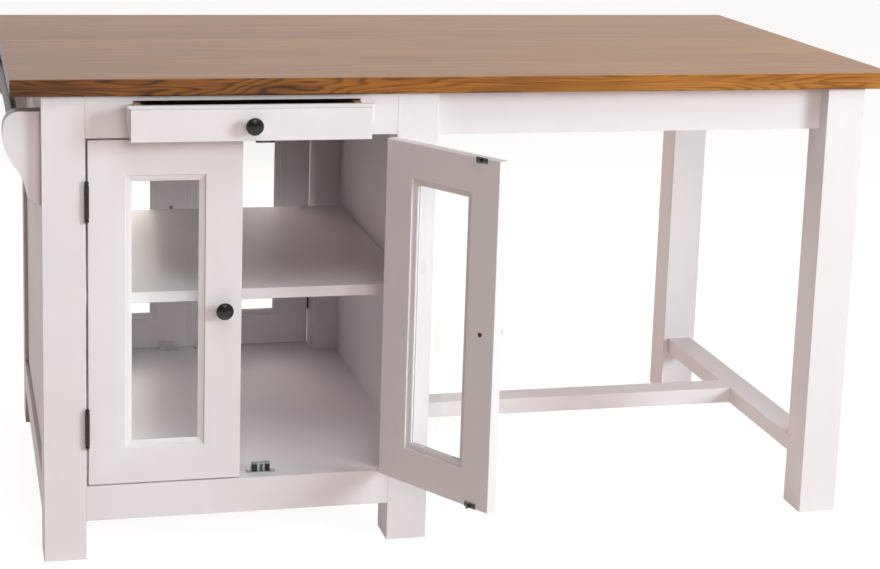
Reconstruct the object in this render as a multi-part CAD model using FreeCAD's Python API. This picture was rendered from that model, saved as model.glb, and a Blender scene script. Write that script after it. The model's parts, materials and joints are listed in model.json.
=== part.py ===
import FreeCAD, Part
import math
import os

# Kitchen island: a two-door cabinet with glazed doors front and rear, an open table end on two more
# legs, a towel rail on the left end and a solid wooden worktop over all of it.
# Millimetres, +Z up, +X from the cabinet towards the table end, +Y from front to rear.
# The origin is the middle of the front left leg's foot, on the floor.
# As drawn, the front right door stands open and the drawer is drawn out a little.

# Worktop
ISLAND_HEIGHT = 900.0
TOP_LENGTH = 1685.0
TOP_DEPTH = 900.0
TOP_THICKNESS = 31.0
TOP_EDGE_ROUND = 2.5
END_OVERHANG = 54.0
SIDE_OVERHANG = 15.0

# Legs and the members between them
LEG_SIZE = 77.0
LEG_EDGE_BEVEL = 0.8
CABINET_LENGTH = 721.0
RAIL_THICKNESS = 22.0
SIDE_RAIL_THICKNESS = 21.0
TOP_RAIL_HEIGHT = 77.5
BOTTOM_RAIL_HEIGHT = 66.5
TOE_SPACE = 75.0
APRON_HEIGHT = 85.0
APRON_THICKNESS = 22.0
APRON_SETBACK = 32.0
STRETCHER_WIDTH = 57.0
STRETCHER_THICKNESS = 33.0
STRETCHER_UNDERSIDE = 99.0

# Joinery
TENON_THICKNESS = 10.0
TENON_LENGTH = 19.0
TENON_SHOULDER = 12.0
STRETCHER_TENON_LENGTH = 14.0
MORTISE_CLEARANCE = 0.2
MORTISE_END_CLEARANCE = 0.8
PANEL_SETBACK = 7.0
PANEL_TONGUE = 8.0
GROOVE_CLEARANCE = 0.2
GROOVE_END_CLEARANCE = 1.0

# Cabinet floor and shelf
FLOOR_THICKNESS = 16.0
FLOOR_REBATE = 10.0
FLOOR_CLEARANCE = 0.3
SHELF_HEIGHT = 486.5
SHELF_THICKNESS = 21.0
SHELF_REAR_GAP = 34.0
SHELF_END_GAP = 2.0
CLEAT_SIZE = 20.0
CLEAT_INSET = 24.0

# Drawer
SLOT_WIDTH = 412.0
SLOT_SHIFT = 6.7
SLOT_TOP_STRIP = 10.5
CATCH_RAIL_THICKNESS = 11.7
CATCH_RAIL_WIDTH = 40.0
DRAWER_PULLED = 40.0
DRAWER_FRONT_WIDTH = 431.5
DRAWER_FRONT_HEIGHT = 57.6
DRAWER_FRONT_THICKNESS = 22.0
DRAWER_FRONT_DROP = 8.4
DRAWER_LIP_SIDE = 6.5
DRAWER_LIP_TOP = 5.0
DRAWER_LIP_THICKNESS = 9.0
DRAWER_LIP_RUN_OUT = 11.5
DRAWER_LIP_FULL = 34.5
DRAWER_COVE_DEPTH = 6.0
DRAWER_BOX_DEPTH = 430.0
DRAWER_BOARD = 12.0
DRAWER_HEADROOM = 4.0
DRAWER_SIDE_CLEARANCE = 1.0
DRAWER_RUN_CLEARANCE = 0.3
DRAWER_BOTTOM_THICKNESS = 6.0
DRAWER_BOTTOM_INSET = 7.0
DRAWER_GROOVE_DEPTH = 5.0
DRAWER_GROOVE_CLEARANCE = 0.2
RUNNER_LEDGE = 20.0
RUNNER_GUIDE_THICKNESS = 14.0
RUNNER_GUIDE_HEIGHT = 32.0

# Doors
DOOR_WIDTH_GAP = 2.4
DOOR_HINGE_GAP = 3.8
DOOR_TOP_GAP = 3.5
DOOR_BOTTOM_GAP = 2.5
DOOR_THICKNESS = 22.0
DOOR_STILE = 79.0
DOOR_TOP_RAIL = 77.0
DOOR_BOTTOM_RAIL = 80.0
DOOR_BEVEL_WIDTH = 14.0
DOOR_BEVEL_DEPTH = 8.0
DOOR_TENON_THICKNESS = 6.0
DOOR_TENON_LENGTH = 40.0
GLASS_LAND = 2.0
GLASS_THICKNESS = 4.0
GLASS_REBATE = 9.0
GLASS_CLEARANCE = 0.2
BEAD_WIDTH = 8.0
BEAD_ROUND = 4.0
DOOR_OPEN_ANGLE = 122.0

# Hinges
BARREL_RADIUS = 4.2
PIN_RADIUS = 2.0
PIN_CLEARANCE = 0.05
BARREL_STANDOFF = 0.4
BARREL_LENGTH = 60.0
KNUCKLE_GAP = 0.3
HINGE_LEAF_THICKNESS = 1.5
HINGE_LEAF_WIDTH = 20.0
FINIAL_LENGTH = 11.0
FINIAL_SWELL = 6.6
FINIAL_WAIST_RADIUS = 2.5
LOWER_HINGE_RISE = 109.0
UPPER_HINGE_DROP = 111.0

# Knobs
KNOB_RADIUS = 16.0
KNOB_PROJECTION = 28.0
KNOB_NECK_RADIUS = 5.5
KNOB_ROSE_RADIUS = 9.0
KNOB_ROSE_HEIGHT = 3.4
KNOB_NECK_HEIGHT = 11.2
KNOB_RIM_HEIGHT = 17.4
KNOB_HEIGHT = 326.0
KNOB_INSET = 33.0
SCREW_RADIUS = 2.0
SCREW_CLEARANCE = 0.2
SCREW_HEAD_RADIUS = 4.5
SCREW_HEAD_HEIGHT = 2.2

# Roller catches
CATCH_INSET = 42.3
CATCH_DOOR_GAP = 2.0
CATCH_PLATE_LENGTH = 54.0
CATCH_DEPTH = 14.0
CATCH_METAL = 1.5
CATCH_BODY_WIDTH = 35.0
CATCH_BODY_HEIGHT = 17.5
ROLLER_RADIUS = 3.8
ROLLER_SPACING = 12.2
ROLLER_SETBACK = 6.0
ROLLER_CLEARANCE = 0.3
STRIKER_OFFSET = 10.0
STRIKER_PLATE_LENGTH = 27.0
STRIKER_PLATE_HEIGHT = 11.0
STRIKER_PLATE_THICKNESS = 1.2
STRIKER_TONGUE_LENGTH = 10.0
STRIKER_TONGUE_THICKNESS = 1.8
STRIKER_HEAD_WIDTH = 3.0
STRIKER_HEAD_LENGTH = 4.0
STRIKER_TONGUE_HEIGHT = 8.0

# Towel rail
BRACKET_REACH = 66.0
BRACKET_HEIGHT = 170.0
BRACKET_THICKNESS = 40.0
BRACKET_INSET = 20.0
BRACKET_BELOW_TOP = 31.0
# The scroll's points from the top corner, as shares of the bracket's reach and height
BRACKET_SCROLL = [(0.6, 0.0), (0.9, 0.07), (1.0, 0.21), (0.87, 0.46), (0.46, 0.75), (0.31, 0.93), (0.0, 1.0)]
TOWEL_RAIL_RADIUS = 11.0
TOWEL_RAIL_REACH = 42.0
TOWEL_RAIL_DROP = 38.0
TOWEL_SOCKET_DEPTH = 12.0
TOWEL_SOCKET_CLEARANCE = 0.3
TOWEL_SOCKET_END_GAP = 1.0

# Places worked out from the sizes above
LEFT = -LEG_SIZE / 2
FRONT = -LEG_SIZE / 2
RIGHT = LEFT + TOP_LENGTH - 2 * END_OVERHANG
REAR = FRONT + TOP_DEPTH - 2 * SIDE_OVERHANG
MIDDLE = LEFT + CABINET_LENGTH
DEPTH_CENTRE = (FRONT + REAR) / 2
FRAME_TOP = ISLAND_HEIGHT - TOP_THICKNESS
BAY_LEFT = LEFT + LEG_SIZE
BAY_RIGHT = MIDDLE - LEG_SIZE
BAY_CENTRE = (BAY_LEFT + BAY_RIGHT) / 2
INNER_LEFT = LEFT + SIDE_RAIL_THICKNESS
INNER_RIGHT = MIDDLE - SIDE_RAIL_THICKNESS
TOP_RAIL_BOTTOM = FRAME_TOP - TOP_RAIL_HEIGHT
FLOOR_TOP = TOE_SPACE + BOTTOM_RAIL_HEIGHT
RUNNER_TOP = TOP_RAIL_BOTTOM + CATCH_RAIL_THICKNESS
SHELF_FRONT = FRONT + LEG_SIZE
SHELF_REAR = REAR - LEG_SIZE - SHELF_REAR_GAP

V = FreeCAD.Vector
UP = V(0, 0, 1)


def box(x0, x1, y0, y1, z0, z1):
    """A block between two corners."""
    return Part.makeBox(x1 - x0, y1 - y0, z1 - z0, V(x0, y0, z0))


def rod(radius, start, end):
    """A round rod between two points."""
    line = end - start
    return Part.makeCylinder(radius, line.Length, start, line)


def prism(points, along):
    """A closed outline of points, drawn out along a vector."""
    outline = Part.makePolygon(points + points[:1])
    return Part.Face(outline).extrude(along)


def edges_along(solid, direction):
    """The straight edges of a block that run along a direction."""
    return [e for e in solid.Edges if abs(e.tangentAt(e.FirstParameter).dot(direction)) > 0.999]


class Member:
    """A straight piece of the frame, along X or Y, with a tenon on each end."""

    def __init__(self, x0, x1, y0, y1, z0, z1, along, tenon_length=TENON_LENGTH):
        self.low = [x0, y0, z0]
        self.high = [x1, y1, z1]
        self.run = "xy".index(along)
        self.tenon_length = tenon_length

    def body(self):
        return box(self.low[0], self.high[0], self.low[1], self.high[1], self.low[2], self.high[2])

    def tenons(self, clearance=0.0, end_clearance=0.0):
        """Both tenons, or their mortises where clearances are given."""
        across, upright = 1 - self.run, 2
        width = self.high[across] - self.low[across]
        height = self.high[upright] - self.low[upright]
        thin, wide = (upright, across) if height < width else (across, upright)
        made = []
        for end in (0, 1):
            low, high = list(self.low), list(self.high)
            middle = (self.low[thin] + self.high[thin]) / 2
            low[thin] = middle - TENON_THICKNESS / 2 - clearance
            high[thin] = middle + TENON_THICKNESS / 2 + clearance
            low[wide] += TENON_SHOULDER - clearance
            high[wide] -= TENON_SHOULDER - clearance
            reach = self.tenon_length + end_clearance
            if end == 0:
                high[self.run] = self.low[self.run]
                low[self.run] = high[self.run] - reach
            else:
                low[self.run] = self.high[self.run]
                high[self.run] = low[self.run] + reach
            made.append(box(low[0], high[0], low[1], high[1], low[2], high[2]))
        return made

    def solid(self):
        return self.body().fuse(self.tenons()).removeSplitter()

    def mortises(self):
        return self.tenons(MORTISE_CLEARANCE, MORTISE_END_CLEARANCE)


def across_cabinet(front_face, thickness, z0, z1):
    """A rail between the left and middle legs, at the front or the rear of the cabinet."""
    return Member(BAY_LEFT, BAY_RIGHT, front_face, front_face + thickness, z0, z1, "x")


def between_legs(left_face, thickness, z0, z1):
    """A member from a front leg to the rear leg behind it."""
    return Member(left_face, left_face + thickness, FRONT + LEG_SIZE, REAR - LEG_SIZE, z0, z1, "y")


def frame_members():
    """Every rail, apron and stretcher by name."""
    apron_bottom = FRAME_TOP - APRON_HEIGHT
    rear_rail_face = REAR - RAIL_THICKNESS
    stretcher_top = STRETCHER_UNDERSIDE + STRETCHER_THICKNESS
    cross_left = RIGHT - LEG_SIZE / 2 - STRETCHER_WIDTH / 2
    long_front = DEPTH_CENTRE - STRETCHER_WIDTH / 2
    apron_rear = REAR - APRON_SETBACK
    return {
        "front_top_rail": across_cabinet(FRONT, RAIL_THICKNESS, TOP_RAIL_BOTTOM, FRAME_TOP),
        "rear_top_rail": across_cabinet(rear_rail_face, RAIL_THICKNESS, TOP_RAIL_BOTTOM, FRAME_TOP),
        "front_bottom_rail": across_cabinet(FRONT, RAIL_THICKNESS, TOE_SPACE, FLOOR_TOP),
        "rear_bottom_rail": across_cabinet(rear_rail_face, RAIL_THICKNESS, TOE_SPACE, FLOOR_TOP),
        "left_top_rail": between_legs(LEFT, SIDE_RAIL_THICKNESS, TOP_RAIL_BOTTOM, FRAME_TOP),
        "left_bottom_rail": between_legs(LEFT, SIDE_RAIL_THICKNESS, TOE_SPACE, FLOOR_TOP),
        "partition_top_rail": between_legs(INNER_RIGHT, SIDE_RAIL_THICKNESS, TOP_RAIL_BOTTOM, FRAME_TOP),
        "partition_bottom_rail": between_legs(INNER_RIGHT, SIDE_RAIL_THICKNESS, TOE_SPACE, FLOOR_TOP),
        "front_apron": Member(MIDDLE, RIGHT - LEG_SIZE, FRONT + APRON_SETBACK,
                              FRONT + APRON_SETBACK + APRON_THICKNESS, apron_bottom, FRAME_TOP, "x"),
        "rear_apron": Member(MIDDLE, RIGHT - LEG_SIZE, apron_rear - APRON_THICKNESS,
                             apron_rear, apron_bottom, FRAME_TOP, "x"),
        "right_apron": between_legs(RIGHT - APRON_SETBACK - APRON_THICKNESS, APRON_THICKNESS,
                                    apron_bottom, FRAME_TOP),
        "cross_stretcher": between_legs(cross_left, STRETCHER_WIDTH, STRETCHER_UNDERSIDE, stretcher_top),
        "long_stretcher": Member(MIDDLE, cross_left, long_front, long_front + STRETCHER_WIDTH,
                                 STRETCHER_UNDERSIDE, stretcher_top, "x", STRETCHER_TENON_LENGTH),
    }


def worktop():
    """The solid top, its upper and lower edges rounded over."""
    slab = box(LEFT - END_OVERHANG, RIGHT + END_OVERHANG, FRONT - SIDE_OVERHANG, REAR + SIDE_OVERHANG,
               FRAME_TOP, ISLAND_HEIGHT)
    long_edges = edges_along(slab, V(1, 0, 0)) + edges_along(slab, V(0, 1, 0))
    return slab.makeFillet(TOP_EDGE_ROUND, long_edges)


def side_panel(outer_face, outwards, clearance=0.0, end_clearance=0.0):
    """The flat panel of a cabinet side, or its groove where clearances are given."""
    shown = outer_face - outwards * (PANEL_SETBACK - clearance)
    hidden = outer_face - outwards * (SIDE_RAIL_THICKNESS + clearance)
    reach = PANEL_TONGUE + end_clearance
    return box(min(shown, hidden), max(shown, hidden), FRONT + LEG_SIZE - reach, REAR - LEG_SIZE + reach,
               FLOOR_TOP - reach, TOP_RAIL_BOTTOM + reach)


def panel_grooves():
    """The grooves that both side panels sit in."""
    return [side_panel(LEFT, -1, GROOVE_CLEARANCE, GROOVE_END_CLEARANCE),
            side_panel(MIDDLE, 1, GROOVE_CLEARANCE, GROOVE_END_CLEARANCE)]


def legs(cuts):
    """The six square legs, mortised and grooved for what joins them."""
    made = {}
    for column, x in (("left", LEFT), ("middle", MIDDLE - LEG_SIZE), ("right", RIGHT - LEG_SIZE)):
        for row, y in (("front", FRONT), ("rear", REAR - LEG_SIZE)):
            post = box(x, x + LEG_SIZE, y, y + LEG_SIZE, 0, FRAME_TOP)
            post = post.makeChamfer(LEG_EDGE_BEVEL, edges_along(post, UP))
            made["leg_" + row + "_" + column] = post.cut(cuts)
    return made


def cabinet_floor():
    """The floor board, notched round the four legs and carried in the rebates of the bottom rails."""
    ledge = RAIL_THICKNESS - FLOOR_REBATE
    board = box(INNER_LEFT + FLOOR_CLEARANCE, INNER_RIGHT - FLOOR_CLEARANCE, FRONT + ledge, REAR - ledge,
                FLOOR_TOP - FLOOR_THICKNESS, FLOOR_TOP)
    gap = FLOOR_CLEARANCE
    for x in (LEFT, MIDDLE - LEG_SIZE):
        for y in (FRONT, REAR - LEG_SIZE):
            board = board.cut(box(x - gap, x + LEG_SIZE + gap, y - gap, y + LEG_SIZE + gap, 0, FRAME_TOP))
    return board


def floor_rebates():
    """The step along each bottom rail that the floor lies on."""
    ledge = RAIL_THICKNESS - FLOOR_REBATE
    return [box(BAY_LEFT - LEG_SIZE, BAY_RIGHT + LEG_SIZE, FRONT + ledge, FRONT + RAIL_THICKNESS,
                FLOOR_TOP - FLOOR_THICKNESS, FLOOR_TOP),
            box(BAY_LEFT - LEG_SIZE, BAY_RIGHT + LEG_SIZE, REAR - RAIL_THICKNESS, REAR - ledge,
                FLOOR_TOP - FLOOR_THICKNESS, FLOOR_TOP)]


def shelf():
    """The fixed shelf, from the front legs back."""
    board = box(INNER_LEFT + SHELF_END_GAP, INNER_RIGHT - SHELF_END_GAP, SHELF_FRONT, SHELF_REAR,
                SHELF_HEIGHT - SHELF_THICKNESS, SHELF_HEIGHT)
    return board.makeChamfer(LEG_EDGE_BEVEL, edges_along(board, V(1, 0, 0)))


def shelf_cleats():
    """Two battens on the cabinet sides that carry the shelf."""
    front = SHELF_FRONT + CLEAT_INSET
    rear = SHELF_REAR - CLEAT_INSET
    top = SHELF_HEIGHT - SHELF_THICKNESS
    return [box(INNER_LEFT, INNER_LEFT + CLEAT_SIZE, front, rear, top - CLEAT_SIZE, top),
            box(INNER_RIGHT - CLEAT_SIZE, INNER_RIGHT, front, rear, top - CLEAT_SIZE, top)]


# Drawer: the places that its pieces share
SLOT_CENTRE = BAY_CENTRE + SLOT_SHIFT
SLOT_LEFT = SLOT_CENTRE - SLOT_WIDTH / 2
SLOT_RIGHT = SLOT_CENTRE + SLOT_WIDTH / 2
SLOT_TOP = FRAME_TOP - SLOT_TOP_STRIP
BOX_LEFT = SLOT_LEFT + DRAWER_SIDE_CLEARANCE
BOX_RIGHT = SLOT_RIGHT - DRAWER_SIDE_CLEARANCE
BOX_BOTTOM = RUNNER_TOP + DRAWER_RUN_CLEARANCE
BOX_TOP = SLOT_TOP - DRAWER_HEADROOM
BOX_FRONT = FRONT - DRAWER_PULLED
BOX_REAR = BOX_FRONT + DRAWER_BOX_DEPTH
FRONT_FACE = BOX_FRONT - DRAWER_FRONT_THICKNESS
FRONT_BOTTOM = RUNNER_TOP - DRAWER_FRONT_DROP
FRONT_TOP = FRONT_BOTTOM + DRAWER_FRONT_HEIGHT
RUNNER_FRONT = FRONT + RAIL_THICKNESS + CATCH_RAIL_WIDTH
RUNNER_REAR = REAR - RAIL_THICKNESS - CATCH_RAIL_WIDTH


def drawer_slot():
    """The opening through the front top rail that the drawer slides in."""
    return box(SLOT_LEFT, SLOT_RIGHT, FRONT, FRONT + RAIL_THICKNESS, RUNNER_TOP, SLOT_TOP)


def catch_rails():
    """A flat rail behind each top rail: it bears the drawer's runners and the upper door catches."""
    front = FRONT + RAIL_THICKNESS
    rear = REAR - RAIL_THICKNESS
    return [box(BAY_LEFT, BAY_RIGHT, front, front + CATCH_RAIL_WIDTH, TOP_RAIL_BOTTOM, RUNNER_TOP),
            box(BAY_LEFT, BAY_RIGHT, rear - CATCH_RAIL_WIDTH, rear, TOP_RAIL_BOTTOM, RUNNER_TOP)]


def drawer_runner(side_face, outwards):
    """An angle under one drawer side: a ledge that it slides on and a guide beside it."""
    guide_inner = side_face + outwards * DRAWER_SIDE_CLEARANCE
    guide_outer = guide_inner + outwards * RUNNER_GUIDE_THICKNESS
    ledge_inner = side_face - outwards * RUNNER_LEDGE
    guide_top = RUNNER_TOP + RUNNER_GUIDE_HEIGHT
    outline = [(ledge_inner, TOP_RAIL_BOTTOM), (guide_outer, TOP_RAIL_BOTTOM), (guide_outer, guide_top),
               (guide_inner, guide_top), (guide_inner, RUNNER_TOP), (ledge_inner, RUNNER_TOP)]
    return prism([V(x, RUNNER_FRONT, z) for x, z in outline], V(0, RUNNER_REAR - RUNNER_FRONT, 0))


def drawer_front_outline(y, lip_side, lip_top):
    """The drawer front's outline at one depth: the lip stands out at the top and runs out down each end."""
    half = DRAWER_FRONT_WIDTH / 2
    right = [(half, FRONT_BOTTOM), (half, FRONT_BOTTOM + DRAWER_LIP_RUN_OUT),
             (half + lip_side, FRONT_BOTTOM + DRAWER_LIP_FULL), (half + lip_side, FRONT_TOP + lip_top)]
    left = [(-x, z) for x, z in reversed(right)]
    points = [V(SLOT_CENTRE + x, y, z) for x, z in right + left]
    return Part.makePolygon(points + points[:1])


def drawer_front():
    """The moulded front: a flat face, a hollow run round it and a lip that covers the slot."""
    cove_start = BOX_FRONT - DRAWER_LIP_THICKNESS - DRAWER_COVE_DEPTH
    cove_end = BOX_FRONT - DRAWER_LIP_THICKNESS
    plate = Part.Face(drawer_front_outline(FRONT_FACE, 0, 0)).extrude(V(0, cove_start - FRONT_FACE, 0))
    lip_outline = drawer_front_outline(cove_end, DRAWER_LIP_SIDE, DRAWER_LIP_TOP)
    lip = Part.Face(lip_outline).extrude(V(0, DRAWER_LIP_THICKNESS, 0))
    hollow = Part.makeLoft([drawer_front_outline(cove_start, 0, 0), lip_outline], True, True)
    board = plate.fuse([hollow, lip]).removeSplitter()
    return board.cut(drawer_screw_hole())


def drawer_bottom(clearance=0.0, end_clearance=0.0):
    """The thin bottom board, or its groove where clearances are given."""
    z0 = BOX_BOTTOM + DRAWER_BOTTOM_INSET
    reach = DRAWER_BOARD - DRAWER_GROOVE_DEPTH - end_clearance
    return box(BOX_LEFT + reach, BOX_RIGHT - reach, BOX_FRONT, BOX_REAR - reach,
               z0 - clearance, z0 + DRAWER_BOTTOM_THICKNESS + clearance)


def drawer_box():
    """The two sides and the back of the drawer, grooved for its bottom."""
    groove = drawer_bottom(DRAWER_GROOVE_CLEARANCE, DRAWER_GROOVE_CLEARANCE)
    back = box(BOX_LEFT + DRAWER_BOARD, BOX_RIGHT - DRAWER_BOARD, BOX_REAR - DRAWER_BOARD, BOX_REAR,
               BOX_BOTTOM, BOX_TOP)
    return {
        "drawer_left_side": box(BOX_LEFT, BOX_LEFT + DRAWER_BOARD, BOX_FRONT, BOX_REAR,
                                BOX_BOTTOM, BOX_TOP).cut(groove),
        "drawer_right_side": box(BOX_RIGHT - DRAWER_BOARD, BOX_RIGHT, BOX_FRONT, BOX_REAR,
                                 BOX_BOTTOM, BOX_TOP).cut(groove),
        "drawer_back": back.cut(groove),
    }


def knob(length_in):
    """A turned knob on the XZ plane facing -Y, and the screw that holds it through length_in of wood."""
    cap = KNOB_PROJECTION - KNOB_RIM_HEIGHT
    cap_radius = (KNOB_RADIUS ** 2 + cap ** 2) / (2 * cap)
    cap_dip = cap_radius - math.sqrt(cap_radius ** 2 - KNOB_RADIUS ** 2 / 4)
    foot = V(SCREW_RADIUS, 0, 0)
    rose_foot = V(KNOB_ROSE_RADIUS, 0, 0)
    rose_top = V(KNOB_ROSE_RADIUS, -KNOB_ROSE_HEIGHT, 0)
    neck = V(KNOB_NECK_RADIUS, -KNOB_NECK_HEIGHT, 0)
    rim = V(KNOB_RADIUS, -KNOB_RIM_HEIGHT, 0)
    half_way = V(KNOB_RADIUS / 2, cap_dip - KNOB_PROJECTION, 0)
    crown = V(0, -KNOB_PROJECTION, 0)
    bore_middle = V(0, -KNOB_NECK_HEIGHT, 0)
    bore_edge = V(SCREW_RADIUS, -KNOB_NECK_HEIGHT, 0)
    outline = [Part.LineSegment(foot, rose_foot), Part.LineSegment(rose_foot, rose_top),
               Part.LineSegment(rose_top, neck), Part.LineSegment(neck, rim),
               Part.Arc(rim, half_way, crown), Part.LineSegment(crown, bore_middle),
               Part.LineSegment(bore_middle, bore_edge), Part.LineSegment(bore_edge, foot)]
    profile = Part.Face(Part.Wire([curve.toShape() for curve in outline]))
    turned = profile.revolve(V(0, 0, 0), V(0, -1, 0), 360)
    shank = rod(SCREW_RADIUS, bore_middle, V(0, length_in, 0))
    head = rod(SCREW_HEAD_RADIUS, V(0, length_in, 0), V(0, length_in + SCREW_HEAD_HEIGHT, 0))
    slot = box(-SCREW_HEAD_RADIUS, SCREW_HEAD_RADIUS, length_in + SCREW_HEAD_HEIGHT / 2,
               length_in + SCREW_HEAD_HEIGHT, -SCREW_RADIUS / 4, SCREW_RADIUS / 4)
    screw = shank.fuse(head.cut(slot)).removeSplitter()
    return [turned, screw]


def screw_hole(length_in):
    """The clearance hole for a knob's screw."""
    radius = SCREW_RADIUS + SCREW_CLEARANCE
    return rod(radius, V(0, 0, 0), V(0, length_in, 0))


def drawer_knob_place():
    """The middle of the drawer front's face."""
    return V(SLOT_CENTRE, FRONT_FACE, (FRONT_BOTTOM + FRONT_TOP) / 2)


def drawer_screw_hole():
    return screw_hole(DRAWER_FRONT_THICKNESS).translated(drawer_knob_place())


def drawer_knob():
    return [piece.translated(drawer_knob_place()) for piece in knob(DRAWER_FRONT_THICKNESS)]


# Doors. All four are the front left door, placed by mirroring. Its own frame has the hinge pin at
# x = 0, y = 0, the door towards +x and its face towards -y, at the real height.
DOOR_EDGE = DOOR_HINGE_GAP / 2
DOOR_FACE = BARREL_RADIUS + BARREL_STANDOFF
DOOR_BACK = DOOR_FACE + DOOR_THICKNESS
DOOR_WIDTH = (BAY_RIGHT - BAY_LEFT - DOOR_WIDTH_GAP) / 2 - DOOR_HINGE_GAP
DOOR_BOTTOM = FLOOR_TOP + DOOR_BOTTOM_GAP
DOOR_TOP = TOP_RAIL_BOTTOM - DOOR_TOP_GAP
DOOR_FREE_EDGE = DOOR_EDGE + DOOR_WIDTH
SIGHT_LEFT = DOOR_EDGE + DOOR_STILE
SIGHT_RIGHT = DOOR_FREE_EDGE - DOOR_STILE
SIGHT_BOTTOM = DOOR_BOTTOM + DOOR_BOTTOM_RAIL
SIGHT_TOP = DOOR_TOP - DOOR_TOP_RAIL
GLASS_FRONT = DOOR_FACE + DOOR_BEVEL_DEPTH + GLASS_LAND
GLASS_BACK = GLASS_FRONT + GLASS_THICKNESS
KNOB_X = DOOR_FREE_EDGE - KNOB_INSET
KNOB_Z = DOOR_BOTTOM + KNOB_HEIGHT
CATCH_X = DOOR_FREE_EDGE - CATCH_INSET


def sight_rectangle(grow, y):
    """The outline of the door's sight opening, grown by a margin, at one depth."""
    x0, x1 = SIGHT_LEFT - grow, SIGHT_RIGHT + grow
    z0, z1 = SIGHT_BOTTOM - grow, SIGHT_TOP + grow
    corners = [V(x0, y, z0), V(x1, y, z0), V(x1, y, z1), V(x0, y, z1)]
    return Part.makePolygon(corners + corners[:1])


def sight_block(grow, y0, y1):
    """The sight opening as a block, grown by a margin."""
    return box(SIGHT_LEFT - grow, SIGHT_RIGHT + grow, y0, y1, SIGHT_BOTTOM - grow, SIGHT_TOP + grow)


def glazing_beads():
    """Four mitred beads round the back of the glass, their inner corner rounded."""
    rebate = sight_block(GLASS_REBATE, GLASS_BACK, DOOR_BACK)
    inner = sight_block(GLASS_REBATE - BEAD_WIDTH, GLASS_BACK, DOOR_BACK)
    ring = rebate.cut(inner)
    corner = [e for e in ring.Edges
              if e.CenterOfMass.y > GLASS_BACK + BEAD_ROUND and inner.BoundBox.isInside(e.CenterOfMass)
              and abs(e.tangentAt(e.FirstParameter).y) < 0.5]
    ring = ring.makeFillet(BEAD_ROUND, corner)
    x0, x1 = SIGHT_LEFT - GLASS_REBATE, SIGHT_RIGHT + GLASS_REBATE
    z0, z1 = SIGHT_BOTTOM - GLASS_REBATE, SIGHT_TOP + GLASS_REBATE
    outer = [(x0, z0), (x1, z0), (x1, z1), (x0, z1)]
    centre = (x0 + x1) / 2
    low, high = (centre, z0 + centre - x0), (centre, z1 - centre + x0)
    wedges = [[outer[0], outer[1], low], [outer[1], outer[2], high, low],
              [outer[2], outer[3], high], [outer[3], outer[0], low, high]]
    return [ring.common(prism([V(x, GLASS_BACK, z) for x, z in wedge], V(0, DOOR_BACK - GLASS_BACK, 0)))
            for wedge in wedges]


def door_frame():
    """Two stiles and two rails, tenoned together, with a bevel round the glass and a rebate behind it."""
    stile_left = box(DOOR_EDGE, DOOR_EDGE + DOOR_STILE, DOOR_FACE, DOOR_BACK, DOOR_BOTTOM, DOOR_TOP)
    stile_right = box(DOOR_FREE_EDGE - DOOR_STILE, DOOR_FREE_EDGE, DOOR_FACE, DOOR_BACK, DOOR_BOTTOM, DOOR_TOP)
    middle = (DOOR_FACE + DOOR_BACK) / 2
    half = DOOR_TENON_THICKNESS / 2
    rails = []
    sockets = []
    for low, high in ((DOOR_BOTTOM, SIGHT_BOTTOM), (SIGHT_TOP, DOOR_TOP)):
        body = box(SIGHT_LEFT, SIGHT_RIGHT, DOOR_FACE, DOOR_BACK, low, high)
        quarter = (high - low) / 4
        tenon, socket = [box(SIGHT_LEFT - DOOR_TENON_LENGTH - gap, SIGHT_RIGHT + DOOR_TENON_LENGTH + gap,
                             middle - half - gap, middle + half + gap, low + quarter - gap, high - quarter + gap)
                         for gap in (0, MORTISE_CLEARANCE)]
        rails.append(body.fuse(tenon).removeSplitter())
        sockets.append(socket)
    bevel = Part.makeLoft([sight_rectangle(DOOR_BEVEL_WIDTH, DOOR_FACE),
                           sight_rectangle(0, DOOR_FACE + DOOR_BEVEL_DEPTH)], True, True)
    rebate = sight_block(GLASS_REBATE, GLASS_FRONT, DOOR_BACK)
    hole = screw_hole(DOOR_THICKNESS).translated(V(KNOB_X, DOOR_FACE, KNOB_Z))
    stiles = [stile.cut(sockets) for stile in (stile_left, stile_right)]
    return [piece.cut([bevel, rebate, hole]) for piece in stiles + rails]


def door_glass():
    """One pane, a little smaller than its rebate."""
    return [sight_block(GLASS_REBATE - GLASS_CLEARANCE, GLASS_FRONT, GLASS_BACK)]


def door_knob():
    return [piece.translated(V(KNOB_X, DOOR_FACE, KNOB_Z)) for piece in knob(DOOR_THICKNESS)]


def hinge_heights():
    """The lower end of each hinge barrel, set from the door's foot and from its head."""
    middles = (DOOR_BOTTOM + LOWER_HINGE_RISE, DOOR_TOP - UPPER_HINGE_DROP)
    return [middle - BARREL_LENGTH / 2 for middle in middles]


def barrel(z0, z1, radius=BARREL_RADIUS):
    return rod(radius, V(0, 0, z0), V(0, 0, z1))


def hinge_leaf(z, side, knuckles, others):
    """One leaf of a hinge with its knuckles: side is +1 on the door's edge and -1 on the leg."""
    outer = side * DOOR_EDGE
    inner = outer - side * HINGE_LEAF_THICKNESS
    plate = box(min(outer, inner), max(outer, inner), 0, DOOR_FACE + HINGE_LEAF_WIDTH, z, z + BARREL_LENGTH)
    room = BARREL_RADIUS + KNUCKLE_GAP
    plate = plate.cut([barrel(a - KNUCKLE_GAP, b + KNUCKLE_GAP, room) for a, b in others])
    leaf = plate.fuse([barrel(a, b) for a, b in knuckles]).removeSplitter()
    return leaf.cut(barrel(z, z + BARREL_LENGTH, PIN_RADIUS + PIN_CLEARANCE))


def hinge_knuckles(z):
    """The leg's two end knuckles and the door's middle one."""
    third = BARREL_LENGTH / 3
    fixed = [(z, z + third), (z + 2 * third, z + BARREL_LENGTH)]
    moving = [(z + third + KNUCKLE_GAP, z + 2 * third - KNUCKLE_GAP)]
    return fixed, moving


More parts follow.
